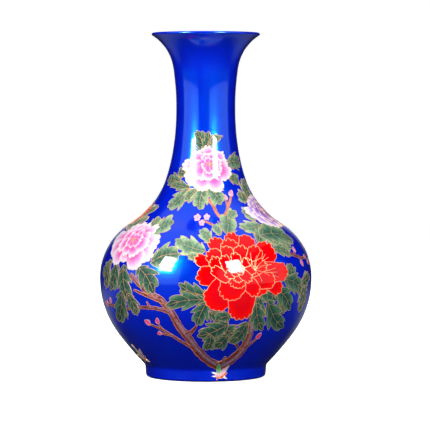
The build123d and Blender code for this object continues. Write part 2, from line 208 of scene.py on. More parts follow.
# Each branch: the places along its middle, its width at the start and at the end, and lines of bark.
BRANCHES = [
    (
        [(14, 15), (4, 21), (-4, 31), (-10, 45), (-15, 59), (-19, 73), (-24, 85), (-32, 93), (-44, 109)],
        10, 4.5, 2,
    ),
    ([(-19, 73), (-25, 76), (-34, 77), (-44, 75), (-53, 73)], 4, 2.2, 0),
    ([(-23, 83), (-31, 88), (-41, 94)], 3.5, 2, 0),
    ([(-6, 34), (-17, 45), (-25, 54), (-35, 61)], 3.2, 1.7, 0),
    ([(-25, 54), (-27, 58), (-28, 63)], 1.8, 1.2, 0),
    ([(-20, 49), (-24, 50), (-28, 51)], 1.8, 1.2, 0),
    ([(-12, 50), (-8, 54), (-5, 60)], 5, 2, 0),
    ([(-31, 77), (-33, 83)], 2.5, 1.2, 0),
    ([(10, 16), (20, 23), (26, 33), (28, 48), (27, 62), (26, 74)], 10, 5, 2),
    ([(27, 35), (32, 41), (35, 47)], 3, 1.6, 0),
    ([(25, 34), (21, 39), (19, 43)], 3, 1.5, 0),
    ([(14, 21), (15, 27)], 4, 2, 0),
    ([(3, 182), (8, 176), (11, 168), (15, 163)], 2.6, 3.2, 0),
    ([(15, 163), (20, 169), (24, 175), (29, 181), (33, 187)], 3, 1.8, 0),
    ([(23, 174), (24, 182)], 2, 1.6, 0),
    ([(11, 151), (5, 158), (-3, 162)], 2.4, 1.6, 0),
    ([(48, 129), (58, 127), (68, 123), (76, 124)], 3.5, 2, 0),
    ([(60, 127), (62, 132)], 2.2, 1.6, 0),
    ([(64, 126), (66, 119)], 2.2, 1.6, 0),
    ([(-60, 76), (-64, 76), (-72, 77)], 2.5, 1.8, 0),
    ([(180, 17), (172, 34), (176, 54), (172, 80)], 9, 6, 2),
    ([(173, 38), (160, 48), (147, 62), (134, 84)], 5, 3, 1),
]

# Each bud: its middle, its length, the way it points (from the right towards the top) and how pale it is.
BUDS = [
    ((-35, 62), 7, 150, 0.1), ((-28, 64), 6, 85, 0.1), ((-29, 51), 5, 200, 0.1),
    ((35, 48), 7, 60, 0.0), ((24, 184), 5.5, 95, 0.45), ((33, 188), 6.5, 60, 0.45),
    ((62, 132), 6, 70, 0.3), ((66, 118), 7, -60, 0.3), ((74, 124), 6, 20, 0.0),
    ((79, 118), 8, -20, 0.0), ((-64, 81), 6, 90, 0.1), ((-71, 77), 8, 175, 0.1),
    ((-50, 69), 6, 210, 0.3), ((150, 60), 7, 60, 0.2), ((134, 86), 8, 120, 0.2),
]

# Each small open blossom: its middle and its half width.
BLOSSOMS = [((-7, 164.5), 3.6), ((1, 165), 3.2), ((-3, 159.5), 3.0)]

# Each butterfly: the middle of its body. Then its wings and body: both ends, width and tone.
BUTTERFLIES = [(14, 7), (-62, 22), (190, 12)]
BUTTERFLY_SHAPES = [
    ((-3, 1), (-9, 3), 1.6, 0.35),
    ((-3, -1), (-9, -1), 1.4, 0.35),
    ((1, 0), (7, 2), 3.0, 1.0),
    ((-1, 0), (-4, 13), 4.2, 0.0),
    ((0, 0), (8, 10), 4.2, 0.5),
    ((-5, 0), (4, -2), 4.0, 0.55),
    ((-2, -1), (-4, -5), 1.8, 1.0),
    ((2, -1), (7, -4), 1.8, 0.35),
    ((-1, -3), (4, 0), 2.2, 1.0),
]

# --- the wall's outline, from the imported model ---


def outer_skin(node):
    """(radius, height) of the rings of vertices on a round node's outside, in millimetres, bottom first."""
    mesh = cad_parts[node].data
    outward, inward = set(), set()
    for polygon in mesh.polygons:
        side = outward if polygon.normal.xy.dot(polygon.center.xy) > 0 else inward
        for index in polygon.vertices:
            x, y, z = mesh.vertices[index].co / MM
            side.add((round(hypot(x, y), 1), round(z, 1)))
    return sorted(outward - inward, key=lambda point: point[1])


def smooth_path(points, step):
    """A smooth curve through points, as points no further apart than the step."""
    points = np.array(points, float)
    lengths = np.hypot(*np.diff(points, axis=0).T)
    slopes = np.gradient(points, np.concatenate([[0], np.cumsum(lengths)]), axis=0)
    path = [points[0]]
    for i, length in enumerate(lengths):
        for share in np.linspace(0, 1, ceil(length / step) + 1)[1:]:
            h = share * share * (3 - 2 * share)
            leave = share * (1 - share) ** 2 * length
            arrive = share * share * (share - 1) * length
            path.append(points[i] * (1 - h) + points[i + 1] * h + slopes[i] * leave + slopes[i + 1] * arrive)
    return np.array(path)


WALL = smooth_path(outer_skin("ground_enamel"), 2.2)
SLOPE = np.gradient(WALL, axis=0)
SLOPE /= np.hypot(*SLOPE.T)[:, None]
NORMAL = np.stack([SLOPE[:, 1], -SLOPE[:, 0]], axis=1)


def radius_at(height):
    return np.interp(height, WALL[:, 1], WALL[:, 0])


def normal_at(azimuth, height):
    angle = np.radians(azimuth)
    out = np.interp(height, WALL[:, 1], NORMAL[:, 0])
    up = np.interp(height, WALL[:, 1], NORMAL[:, 1])
    return np.stack([out * np.sin(angle), -out * np.cos(angle), up], axis=-1)


def wall_point(azimuth, height, rise=0.0):
    """Points in metres at a height over the outside of the wall."""
    angle, radius = np.radians(azimuth), radius_at(height)
    across, deep = radius * np.sin(angle), -radius * np.cos(angle)
    on_wall = np.stack([across, deep, height * np.ones_like(radius)], axis=-1)
    return (on_wall + np.asarray(rise)[..., None] * normal_at(azimuth, height)) * MM


def under_wall(depth):
    return WALL - NORMAL * depth


# --- materials ---


class Shader:
    """A material being wired up round its Principled shader. A value can be a number or a socket."""

    def __init__(self, name):
        self.material = bpy.data.materials.new(name)
        self.material.use_nodes = True
        self.nodes = self.material.node_tree.nodes
        self.links = self.material.node_tree.links
        self.shader = self.nodes["Principled BSDF"]

    def feed(self, socket, value):
        if isinstance(value, bpy.types.NodeSocket):
            self.links.new(value, socket)
        elif isinstance(value, (tuple, list)) and len(value) == 3 and socket.type == "RGBA":
            socket.default_value = (*value, 1)
        else:
            socket.default_value = value

    def set(self, **values):
        for name, value in values.items():
            self.feed(self.shader.inputs[name.replace("_", " ")], value)

    def node(self, kind, inputs, **settings):
        node = self.nodes.new(kind)
        for name, value in settings.items():
            setattr(node, name, value)
        for name, value in inputs.items():
            self.feed(node.inputs[name], value)
        return node

    def noise(self, scale, detail=3.0, vector=None):
        vector = vector or self.node("ShaderNodeTexCoord", {}).outputs["Object"]
        inputs = {"Scale": scale, "Detail": detail, "Vector": vector}
        return self.node("ShaderNodeTexNoise", inputs).outputs["Fac"]

    def span(self, value, to_low, to_high, low=0.3, high=0.7):
        """The value, which runs from low to high, stretched to run from to_low to to_high."""
        inputs = {"Value": value, "From Min": low, "From Max": high, "To Min": to_low, "To Max": to_high}
        return self.node("ShaderNodeMapRange", inputs).outputs["Result"]

    def add(self, a, b):
        return self.node("ShaderNodeMath", {0: a, 1: b}, operation="ADD").outputs[0]

    def times(self, a, b):
        return self.node("ShaderNodeMath", {0: a, 1: b}, operation="MULTIPLY").outputs[0]

    def ramp(self, factor, *stops):
        """A colour ramp through (place, colour) stops."""
        node = self.node("ShaderNodeValToRGB", {"Fac": factor})
        elements = node.color_ramp.elements
        while len(elements) < len(stops):
            elements.new(0.5)
        for element, (place, colour) in zip(elements, stops):
            element.position = place
            element.color = (*colour, 1)
        return node.outputs["Color"]

    def mix(self, factor, a, b):
        node = self.node("ShaderNodeMix", {}, data_type="RGBA")
        for index, value in ((0, factor), (6, a), (7, b)):
            self.feed(node.inputs[index], value)
        return node.outputs[2]

    def value(self, colour, factor):
        return self.node("ShaderNodeHueSaturation", {"Color": colour, "Value": factor}).outputs[0]

    def bump(self, height, strength, distance):
        inputs = {"Height": height, "Strength": strength, "Distance": distance}
        return self.node("ShaderNodeBump", inputs).outputs["Normal"]

    def cell(self):
        """What every corner of a cell carries: how far along it is, how far across, and the cell's tone."""
        colour = self.node("ShaderNodeAttribute", {}, attribute_name="cell").outputs["Color"]
        return self.node("ShaderNodeSeparateColor", {"Color": colour}).outputs[0:3]

    def streaks(self, across, along, tone, count):
        """Fine brush lines that run along a cell."""
        vector = self.node("ShaderNodeCombineXYZ", {"X": across, "Y": along, "Z": tone}).outputs[0]
        inputs = {"Vector": vector, "Scale": (count, 1.5, 40.0)}
        return self.noise(1.0, 2.0, self.node("ShaderNodeMapping", inputs).outputs[0])


def glaze(shader, colour, mottle):
    """Fired enamel: a colour that varies in fine grains under a polished surface with slight ripples."""
    grain = shader.span(shader.noise(900.0), 1 - mottle, 1 + mottle)
    shader.set(Base_Color=shader.value(colour, grain), Roughness=0.5, Specular_IOR_Level=0.0)
    shader.set(Coat_Weight=1.0, Coat_Roughness=0.01, Coat_IOR=1.45)
    shader.set(Normal=shader.bump(shader.noise(240.0), 0.05, 0.001))
    return shader.material


def blue_enamel():
    """Translucent cobalt over bright metal: deep ultramarine, azure where a light shines off the metal."""
    s = Shader("cobalt_enamel")
    clouds = s.noise(18.0, 4.0)
    deep, bright = (0.002, 0.006, 0.62), (0.0, 0.014, 0.74)
    base = s.ramp(clouds, (0.3, deep), (0.55, bright), (0.75, deep))
    grain = s.span(s.noise(1500.0), 0.88, 1.12)
    s.set(Base_Color=s.value(base, grain), Roughness=0.22, IOR=2.8, Specular_Tint=(0.0, 0.36, 1.0, 1.0))
    s.set(Coat_Weight=1.0, Coat_Roughness=0.01, Coat_IOR=1.4)
    s.set(Normal=s.bump(s.noise(120.0), 0.03, 0.001))
    return s.material


def lining_enamel():
    s = Shader("lining_enamel")
    colour = s.ramp(s.noise(25.0), (0.3, (0.006, 0.03, 0.4)), (0.7, (0.01, 0.06, 0.55)))
    return glaze(s, colour, 0.12)


def petal_enamel(name, stops, stamen):
    """Petals that shade from root to edge, with fine streaks along them, and their stamens."""
    s = Shader(name)
    along, across, tone = s.cell()
    place = s.add(along, s.span(s.streaks(across, along, tone, 24.0), -0.12, 0.12))
    place = s.add(place, s.span(tone, -0.08, 0.08, 0.0, 1.0))
    petals = s.ramp(place, *stops)
    return glaze(s, s.mix(s.span(tone, 0.0, 1.0, 1.2, 1.3), petals, stamen), 0.05)


def leaf_enamel():
    """Leaves that are dark down the middle and paler at the edge. The tone is how pale the leaf is."""
    s = Shader("leaf_enamel")
    along, across, tone = s.cell()
    place = s.add(across, s.span(s.streaks(along, across, tone, 12.0), -0.3, 0.3))
    dark = s.ramp(place, (0.1, (0.015, 0.065, 0.048)), (0.55, (0.045, 0.14, 0.09)), (1.0, (0.12, 0.25, 0.13)))
    pale = s.ramp(place, (0.1, (0.09, 0.22, 0.14)), (0.55, (0.26, 0.42, 0.25)), (1.0, (0.6, 0.72, 0.38)))
    return glaze(s, s.mix(tone, dark, pale), 0.1)


def bark_enamel():
    """Bark with a lilac light along the middle and rusty edges. A tone of 1 marks the paler young wood."""
    s = Shader("bark_enamel")
    along, across, tone = s.cell()
    place = s.add(across, s.span(s.streaks(across, along, tone, 9.0), -0.35, 0.35))
    light, dark, rusty = (0.42, 0.27, 0.4), (0.15, 0.025, 0.015), (0.6, 0.16, 0.04)
    old = s.ramp(place, (0.0, light), (0.35, (0.25, 0.08, 0.09)), (0.7, dark), (1.0, rusty))
    young = s.ramp(place, (0.1, (0.75, 0.34, 0.26)), (0.6, (0.48, 0.13, 0.08)), (1.0, (0.8, 0.28, 0.09)))
    return glaze(s, s.mix(tone, old, young), 0.12)


def tone_enamel(name, stops):
    """Small shapes, each of one colour by its tone, lighter to the edge."""
    s = Shader(name)
    _, across, tone = s.cell()
    place = s.add(tone, s.span(across, -0.05, 0.1, 0.0, 1.0))
    return glaze(s, s.ramp(place, *stops), 0.08)


def gilt(name, colour, roughness):
    """Gilt copper: a warm satin metal, a little duller where it's worn."""
    s = Shader(name)
    wear = s.noise(300.0, 5.0)
    dull = tuple(c * 0.6 for c in colour)
    base = s.ramp(wear, (0.35, dull), (0.5, colour), (1.0, colour))
    s.set(Base_Color=base, Metallic=0.45, Roughness=s.span(wear, roughness + 0.12, roughness - 0.06))
    s.set(Normal=s.bump(s.noise(1200.0), 0.15, 0.0005))
    return s.material


def bare_copper():
    s = Shader("bare_copper")
    wear = s.noise(120.0, 6.0)
    base = s.ramp(wear, (0.3, (0.4, 0.2, 0.1)), (0.6, (0.75, 0.5, 0.26)))
    s.set(Base_Color=base, Metallic=0.9, Roughness=s.span(wear, 0.45, 0.25))
    s.set(Normal=s.bump(s.noise(500.0), 0.1, 0.0005))
    return s.material


def make_materials():
    white = (0.93, 0.82, 0.92)
    red = [(0.1, (0.8, 0.0, 0.006)), (0.6, (1.0, 0.0, 0.001)), (1.0, (1.0, 0.008, 0.004))]
    pink = [(0.05, (0.86, 0.14, 0.5)), (0.4, (0.9, 0.4, 0.72)), (0.75, white)]
    lilac = [(0.05, (0.3, 0.12, 0.5)), (0.4, (0.55, 0.34, 0.8)), (0.75, white)]
    bud = [(0.0, (1.0, 0.04, 0.22)), (0.3, (1.0, 0.18, 0.42)), (0.9, (0.95, 0.75, 0.85))]
    green_wing, white_wing, pink_wing = (0.08, 0.6, 0.15), (0.95, 0.93, 0.9), (0.95, 0.4, 0.62)
    butterfly = [(0.0, green_wing), (0.35, white_wing), (0.65, pink_wing), (1.0, (0.9, 0.1, 0.02))]
    return {
        "red": petal_enamel("red_enamel", red, stamen=(0.9, 0.4, 0.2)),
        "pink": petal_enamel("pink_enamel", pink, stamen=(0.72, 0.22, 0.2)),
        "lilac": petal_enamel("lilac_enamel", lilac, stamen=(0.6, 0.3, 0.4)),
        "leaf": leaf_enamel(),
        "bark": bark_enamel(),
        "bud": tone_enamel("bud_enamel", bud),
        "butterfly": tone_enamel("butterfly_enamel", butterfly),
        "wire": gilt("bright_wire", (0.95, 0.64, 0.33), 0.35),
        "leaf wire": gilt("leaf_wire", (0.72, 0.4, 0.2), 0.4),
        "bark wire": gilt("bark_wire", (0.85, 0.33, 0.11), 0.4),
        "blue": blue_enamel(),
        "lining": lining_enamel(),
        "copper": bare_copper(),
    }


# --- round pieces ---


def add_piece(name, mesh, material, slot, *nodes):
    """Puts a piece in the scene with the given material. The slot is not used. It stands for CAD nodes, which
    it hides.
    """
    piece = bpy.data.objects.new(name, mesh)
    bpy.context.scene.collection.objects.link(piece)
    mesh.materials.append(material)
    mesh.polygons.foreach_set("use_smooth", [True] * len(mesh.polygons))
    mesh.set_sharp_from_angle(angle=radians(40))
    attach(piece, "root")
    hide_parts(*nodes)
    return piece


def lathe(name, outline, segments=192):
    """A closed outline in millimetres turned round the axis. A point on the axis becomes a pole."""
    angles = np.linspace(0, 2 * pi, segments, endpoint=False)
    vertices, rows = [], []
    for r, z in outline:
        first = len(vertices)
        pole = r < 1e-6
        vertices += [(0, 0, z * MM)] if pole else [(r * MM * cos(a), r * MM * sin(a), z * MM) for a in angles]
        rows.append([first] * segments if pole else list(range(first, first + segments)))
    faces = []
    for low, high in zip(rows, rows[1:] + rows[:1]):
        for i in range(segments):
            j = (i + 1) % segments
            face = list(dict.fromkeys([low[i], low[j], high[j], high[i]]))
            if len(face) > 2:
                faces.append(face)
    mesh = bpy.data.meshes.new(name)
    mesh.from_pydata(vertices, [], faces)
    mesh.validate()
    return mesh


def lip_arc(radius, quarters):
    """Points round the middle of the wall's top edge, from its outside over the top to its inside."""
    middle = WALL[-1] - NORMAL[-1] * LIP_ROUND
    angles = np.radians(quarters)[:, None]
    return middle + radius * (np.cos(angles) * NORMAL[-1] + np.sin(angles) * SLOPE[-1])


def vessel(materials):
    """The blue coat, the blue lip and the lining as fine round pieces."""
    outside, inside = WALL, under_wall(COAT)
    mesh = lathe("ground", np.vstack([outside, inside[::-1]]))
    add_piece("ground_coat", mesh, materials["blue"], "blue_enamel", "ground_enamel")
    over, back = np.linspace(0, 180, 19), np.linspace(180, 0, 11)
    mesh = lathe("lip", np.vstack([lip_arc(LIP_ROUND, over), lip_arc(COPPER / 2, back)]))
    add_piece("lip_coat", mesh, materials["blue"], "blue_enamel", "lip_enamel")
    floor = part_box("lining_enamel")[0][2] / MM + LINING
    deep, shallow = under_wall(COAT + COPPER + LINING), under_wall(COAT + COPPER)
    above = deep[deep[:, 1] > floor]
    below = shallow[shallow[:, 1] > floor - LINING]
    corner = [(np.interp(floor, deep[:, 1], deep[:, 0]), floor)]
    under = [(np.interp(floor - LINING, shallow[:, 1], shallow[:, 0]), floor - LINING)]
    outline = np.vstack([[(0, floor)], corner, above, below[::-1], under, [(0, floor - LINING)]])
    add_piece("lining_coat", lathe("lining", outline), materials["lining"], "lining_enamel", "lining_enamel")


def dress_cad(materials):
    """The CAD's own metal pieces and base enamel keep their shape and get their finish."""
    for name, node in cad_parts.items():
        if name.endswith(("_cells", "_wires")) or name in ("ground_enamel", "lip_enamel", "lining_enamel"):
            continue
        node.data.materials.clear()
        node.data.materials.append(materials["lining" if name == "base_enamel" else "copper"])


# --- drawing on the wall ---

CHART = 1.88  # millimetres for a degree of azimuth on the chart of the whole wall, as round the belly


def to_chart(points, facing):
    """From a drawing plane to the chart, where x is the azimuth times CHART and y is the height."""
    points = np.asarray(points, float)
    across = np.clip(points[:, 0] / radius_at(points[:, 1]), -0.99, 0.99)
    return np.stack([(facing + np.degrees(np.arcsin(across))) * CHART, points[:, 1]], axis=1)


def from_chart(points, facing):
    turn = np.radians(points[:, 0] / CHART - facing)
    return np.stack([radius_at(points[:, 1]) * np.sin(turn), points[:, 1]], axis=1)


def on_plane(place, facing):
    azimuth, height = place
    return np.array([radius_at(height) * sin(radians(azimuth - facing)), height])


def turned(vector):
    return np.array([-vector[1], vector[0]])


def evenly(points, step, closed=False):
    """The same line with points a step apart."""
    points = np.asarray(points, float)
    if closed:
        points = np.vstack([points, points[:1]])
    at = np.concatenate([[0], np.cumsum(np.hypot(*np.diff(points, axis=0).T))])
    wanted = np.linspace(0, at[-1], max(3, round(at[-1] / step)) + 1)
    if closed:
        wanted = wanted[:-1]
    return np.stack([np.interp(wanted, at, points[:, i]) for i in (0, 1)], axis=1)


class Cell:
    """One cell of enamel: its outline on the chart, the wires drawn in it, and how places in it measure."""

    def __init__(self, outline, facing, measure, tone, wire=WIRE, lines=()):
        outline = to_chart(evenly(outline, 0.9, closed=True), facing)
        following = np.roll(outline, -1, axis=0)
        clockwise = np.sum(outline[:, 0] * following[:, 1] - following[:, 0] * outline[:, 1]) < 0
        self.outline = outline[::-1] if clockwise else outline
        self.facing, self.measure, self.tone, self.wire = facing, measure, tone, wire
        self.lines = [(to_chart(evenly(line, 0.9), facing), width) for line, width in lines]
        self.low, self.high = outline.min(axis=0), outline.max(axis=0)

    def holds(self, points):
        """Which points of the chart are inside the outline."""
        inside = np.zeros(len(points), bool)
        near = np.all((points > self.low) & (points < self.high), axis=1)
        if near.any():
            x, y = points[near].T
            ax, ay = self.outline.T[:, :, None]
            bx, by = np.roll(self.outline, -1, axis=0).T[:, :, None]
            crosses = (ay > y) != (by > y)
            rise = np.where(by == ay, 1.0, by - ay)
            inside[near] = (crosses & (x < ax + (y - ay) * (bx - ax) / rise)).sum(axis=0) % 2 == 1
        return inside


def lobed_edge(place, length, swell):
    """A petal's edge: one lobe for each swell, with three small waves on it."""
    notch, scallop = (min(share, depth / length) for depth, share in (NOTCH, SCALLOP))
    lobes, steps = len(swell), 12
    edge = []
    for i in range(lobes * steps + 1):
        lobe = min(lobes - 1, i // steps)
        bulge, ripple = sin(pi * (i / steps - lobe)), abs(sin(pi * i / 4))
        share = 1 - notch * (1 - bulge**0.7) - scallop * (1 - ripple**0.7) + 0.5 * notch * swell[lobe] * bulge
        edge.append(place(2 * i / (lobes * steps) - 1, share))
    return edge


def petal(root, tip, width, lobes, facing, tone, wire, streaks=0, broad=0.0):
    """A petal that fans out from a root on the plane and ends in uneven round lobes at its tip."""
    length = hypot(*(tip - root))
    along = (tip - root) / length
    aside = turned(along)
    spread = atan(width / 2 / (PETAL_SIDE * length))
    shape = random.Random(f"{tip[0]:.1f} {tip[1]:.1f} {facing:.1f}")
    swell = [shape.uniform(-1.0, 1.0) for _ in range(lobes)]

    def reach(turn):
        """From the root to the edge, where the turn goes from -1 to 1 across the petal."""
        return length * (1 - (1 - PETAL_SIDE) * turn * turn)

    def place(turn, share):
        angle = turn * spread
        return root + reach(turn) * share * (cos(angle) * along + sin(angle) * aside)

    edge = lobed_edge(place, length, swell)
    sides = []
    for way in (-1, 1):
        end = edge[0 if way < 0 else -1]
        foot = root + (end - root) @ aside * aside * broad
        swelling = aside * way * width * PETAL_SWELL
        shares = np.linspace(0.0, 0.9, 6)
        sides.append([foot + (end - foot) * share + swelling * sin(pi * share) for share in shares])
    outline = [root - along * length * 0.1 * broad] + sides[0] + edge + sides[1][::-1]

    def measure(points):
        away = points - root
        turn = np.clip(np.arctan2(away @ aside, away @ along) / spread, -1, 1)
        return np.clip(1 - (reach(turn) - np.hypot(*away.T)) / (PETAL_FADE * length), 0, 1), (turn + 1) / 2

    lines = []
    for turn in np.linspace(-0.6, 0.6, streaks) if streaks else []:
        bend = [place(turn * (0.4 + 0.9 * s), s) for s in np.linspace(0.3, 0.45 + 0.3 * shape.random(), 6)]
        lines.append((bend, wire * 0.75))
    return Cell(outline, facing, measure, tone, wire, lines)


def stamens(heart, size, facing, wire):
    """A small tuft of stamens in the heart."""
    middle = on_plane(heart, facing)
    tuft = []
    for i in range(7):
        angle = i * 2.4
        away = np.array([cos(angle), 0.7 * sin(angle)]) * size * (0.35 + 0.1 * (i % 3))
        root, tip = middle + away * 0.3, middle + away * 1.6
        tuft.append(petal(root, tip, size * 0.45, 1, facing, STAMEN_TONE, wire * 0.6))
    return tuft


def drawn_peony(name, heart, petals):
    """A flower whose petals are placed one by one, with stamens in it."""
    facing, red = heart[0], name == "red_peony"
    wire = WIRE if red else FINE_WIRE
    shape = random.Random(name)
    cells = []
    for azimuth, height, width, lobes, *root in petals:
        start, tip = on_plane(root or heart, facing), on_plane((azimuth, height), facing)
        # Wires run along the two petals at the upper right of the red flower.
        streaks = 3 if red and azimuth > 40 and height > 100 else 0
        broad = BROAD_ROOT if root else NARROW_ROOT
        cells.append(petal(start, tip, width, lobes, facing, shape.random(), wire, streaks, broad))
    if not red:
        return cells + stamens(heart, 5.5, facing, wire)
    start, ends = RED_STAMENS
    for end in ends:
        first, last = on_plane(start, facing), on_plane(end, facing)
        line = [first, (first + last) / 2 + turned(last - first) * 0.08, last]
        cells[-1].lines.append((to_chart(evenly(smooth_path(line, 1.0), 0.9), facing), FINE_WIRE * 1.3))
    return cells


def ringed_peony(name, heart, half_width, half_height):
    """A flower of even rings of petals that overlap."""
    facing = heart[0]
    wire = WIRE if name == "back_peony" else FINE_WIRE
    shape = random.Random(name)
    middle = on_plane(heart, facing)
    cells = []
    for ring, (count, out, broad, lobes) in enumerate(RINGS):
        for i in range(count):
            angle = 2 * pi * (i + 0.5 * ring + shape.uniform(-0.12, 0.12)) / count + 0.3
            reach = out * shape.uniform(0.93, 1.03)
            tip = middle + np.array([half_width * cos(angle), half_height * sin(angle)]) * reach
            width = broad * reach * hypot(half_width * sin(angle), half_height * cos(angle))
            cells.append(petal(middle, tip, width, lobes, facing, shape.random(), wire))
    return cells


def veins(middle, half_width, aside, lobes):
    """A leaf's midrib, and a pair of side veins for each of its lobes."""
    lines = [([middle(t) for t in np.linspace(0, 0.93, 9)], VEIN)]
    for fork in (np.arange(lobes) + 0.3) / (lobes + 0.6):
        for way in (1, -1):
            ts = [fork + 0.2 * s for s in (0, 0.5, 1)]
            vein = [middle(t) + aside * way * half_width(t) * 0.75 * s for t, s in zip(ts, (0, 0.55, 1))]
            lines.append((vein, VEIN * 0.7))
    return lines


def leaf(base, tip, width, pale):
    """A broad leaf with pointed lobes that lean forwards, a curved midrib and side veins."""
    facing = (base[0] + tip[0]) / 2
    start, end = on_plane(base, facing), on_plane(tip, facing)
    length = hypot(*(end - start))
    along = (end - start) / length
    aside = turned(along)
    shape = random.Random(f"{base} {tip}")
    curl = shape.uniform(0.04, 0.12) * shape.choice((-1, 1)) * length
    lobes = 2 if length < 20 else 3

    def middle(t):
        return start + along * length * t + aside * curl * sin(pi * t)

    def half_width(t):
        return width / 2 * np.sin(pi * np.clip(t, 0, 1) ** 0.85) ** 0.75

    sides = []
    for way in (1, -1):
        shift = shape.uniform(0.2, 0.6)
        side = []
        for t in np.linspace(0, 1, lobes * 12 + 1):
            # A tooth rises from 0.6 to 1.15 of the leaf's own width, and leans towards the tip.
            tooth = (t * lobes + shift) % 1.0
            reach = half_width(t) * (1.15 - 0.55 * (1 - tooth) ** 1.3)
            side.append(middle(t) + aside * way * reach + along * tooth * sin(pi * t) * width * 0.22)
        side[-1] = middle(1.0)
        sides.append(side)
    outline = sides[0] + sides[1][::-1][1:-1]

    def measure(points):
        away = points - start
        t = np.clip(away @ along / length, 0, 1)
        off = np.abs(away @ aside - curl * np.sin(pi * t))
        return t, np.clip(off / np.maximum(half_width(t), 0.5), 0, 1)

    return Cell(outline, facing, measure, pale, LEAF_WIRE, veins(middle, half_width, aside, lobes))


def branch(places, start_width, end_width, bark):
    """A knotty branch that tapers along a smooth line."""
    facing = (places[0][0] + places[-1][0]) / 2
    middles = smooth_path([on_plane(place, facing) for place in places], 2.5)
    slope = np.gradient(middles, axis=0)
    slope /= np.hypot(*slope.T)[:, None]
    aside = np.stack([-slope[:, 1], slope[:, 0]], axis=1)
    share = np.linspace(0, 1, len(middles))
    shape = random.Random(f"{places[0]} {places[-1]}")
    half = (start_width + (end_width - start_width) * share) / 2
    left, right = (half * (1 + np.array([shape.uniform(-0.16, 0.16) for _ in middles])) for _ in range(2))
    outline = np.vstack([middles + aside * left[:, None], (middles - aside * right[:, None])[::-1]])

    def measure(points):
        gaps = points[:, None, :] - middles[None, :, :]
        nearest = np.argmin((gaps**2).sum(axis=2), axis=1)
        off = np.einsum("ij,ij->i", points - middles[nearest], aside[nearest]) / half[nearest]
        # The light runs a little to one side of the middle.
        return share[nearest] * len(middles) / 10, np.clip(np.abs(off + 0.25) / 1.25, 0, 1)

    lines = []
    for i in range(bark):
        inner = slice(len(middles) * (1 + i) // 6, len(middles) * (4 + i) // 6)
        offset = half[inner] * (0.75 * (i + 1) / (bark + 1) * 2 - 0.75)
        lines.append((middles[inner] + aside[inner] * offset[:, None], FINE_WIRE))
    tone = 1.0 if places[0][1] > YOUNG_WOOD else 0.0
    return Cell(outline, facing, measure, tone, FINE_WIRE, lines)


def teardrop(root, tip, width, facing, tone):
    """A small shape that is round at its root and drawn out to a point."""
    middle, length = (root + tip) / 2, hypot(*(tip - root))
    along = (tip - root) / length
    outline = []
    for t in np.linspace(0, 2 * pi, 30, endpoint=False):
        half_width = width / 2 * sin(t) * (1 - 0.45 * cos(t))
        outline.append(middle + along * length / 2 * cos(t) + turned(along) * half_width)

    def measure(points):
        forward = (points - middle) @ along / length
        return np.clip(forward + 0.5, 0, 1), np.clip(0.5 - forward, 0, 1)

    return Cell(outline, facing, measure, tone, FINE_WIRE)


def closed_bud(place, length, way, tone):
    middle = on_plane(place, place[0])
    reach = np.array([cos(radians(way)), sin(radians(way))]) * length / 2
    return teardrop(middle - reach, middle + reach, length * 0.72, place[0], tone)


def blossom(place, size):
    """Five small round petals and a middle."""
    middle = on_plane(place, place[0])
    cells = []
    for i in range(5):
        angle = i * 1.26 + 0.3
        away = np.array([cos(angle), sin(angle)])
        cells.append(petal(middle, middle + away * size, size * 1.1, 1, place[0], 0.6, FINE_WIRE * 0.75))
    return cells + [closed_bud(place, size * 0.6, 90, 0.0)]


def butterfly(place):
    facing = place[0]
    middle = on_plane(place, facing)
    shapes = BUTTERFLY_SHAPES
    return [teardrop(middle + root, middle + tip, width, facing, tone) for root, tip, width, tone in shapes]


def picture():
    """The whole picture as groups from the back to the front: name, material, slot and cells."""
    groups = [("branch", "bark", "brown_enamel", [branch(*b) for b in BRANCHES])]
    open_flowers = [cell for item in BLOSSOMS for cell in blossom(*item)]
    groups.append(("bud", "bud", "pink_enamel", [closed_bud(*b) for b in BUDS] + open_flowers))
    for name, leaves in LEAVES.items():
        groups.append((name, "leaf", "green_enamel", [leaf(*item) for item in leaves]))
    for name, (kind, flower) in DRAWN_PEONIES.items():
        groups.append((name, kind, f"{kind}_enamel", drawn_peony(name, *flower)))
    for name, (kind, *flower) in RINGED_PEONIES.items():
        groups.append((name, kind, f"{kind}_enamel", ringed_peony(name, *flower)))
    flying = [cell for place in BUTTERFLIES for cell in butterfly(place)]
    return groups + [("butterfly", "butterfly", "pale_enamel", flying)]


# --- from the drawing to closed pieces ---


def inner_points(cells, spacing=2.4):
    """Loose points inside the cells, so that the triangles follow the round of the wall."""
    low = np.min([cell.low for cell in cells], axis=0)
    high = np.max([cell.high for cell in cells], axis=0)
    x, y = np.meshgrid(np.arange(low[0], high[0], spacing), np.arange(low[1], high[1], spacing))
    shift = np.random.default_rng(5).uniform(-0.25, 0.25, (x.size, 2)) * spacing
    points = np.stack([x.ravel(), y.ravel()], axis=1) + shift
    used = np.zeros(len(points), bool)
    for cell in cells:
        used |= cell.holds(points)
    return points[used]


def cut_into_triangles(cells):
    """The chart's points, its triangles, and for each triangle the number of the front cell there."""
    points, faces, count = [], [], 0
    for cell in cells:
        points.append(cell.outline)
        faces.append(list(range(count, count + len(cell.outline))))
        count += len(cell.outline)
    points = np.vstack(points + [inner_points(cells)])
    cut = delaunay_2d_cdt([Vector(point) for point in points], [], faces, 1, 1e-4, True)
    corners, triangles, owners = cut[0], cut[2], cut[5]
    owned = [(triangle, max(owner)) for triangle, owner in zip(triangles, owners) if owner]
    triangles, owners = zip(*owned)
    return np.array([tuple(corner) for corner in corners]), np.array(triangles), np.array(owners)


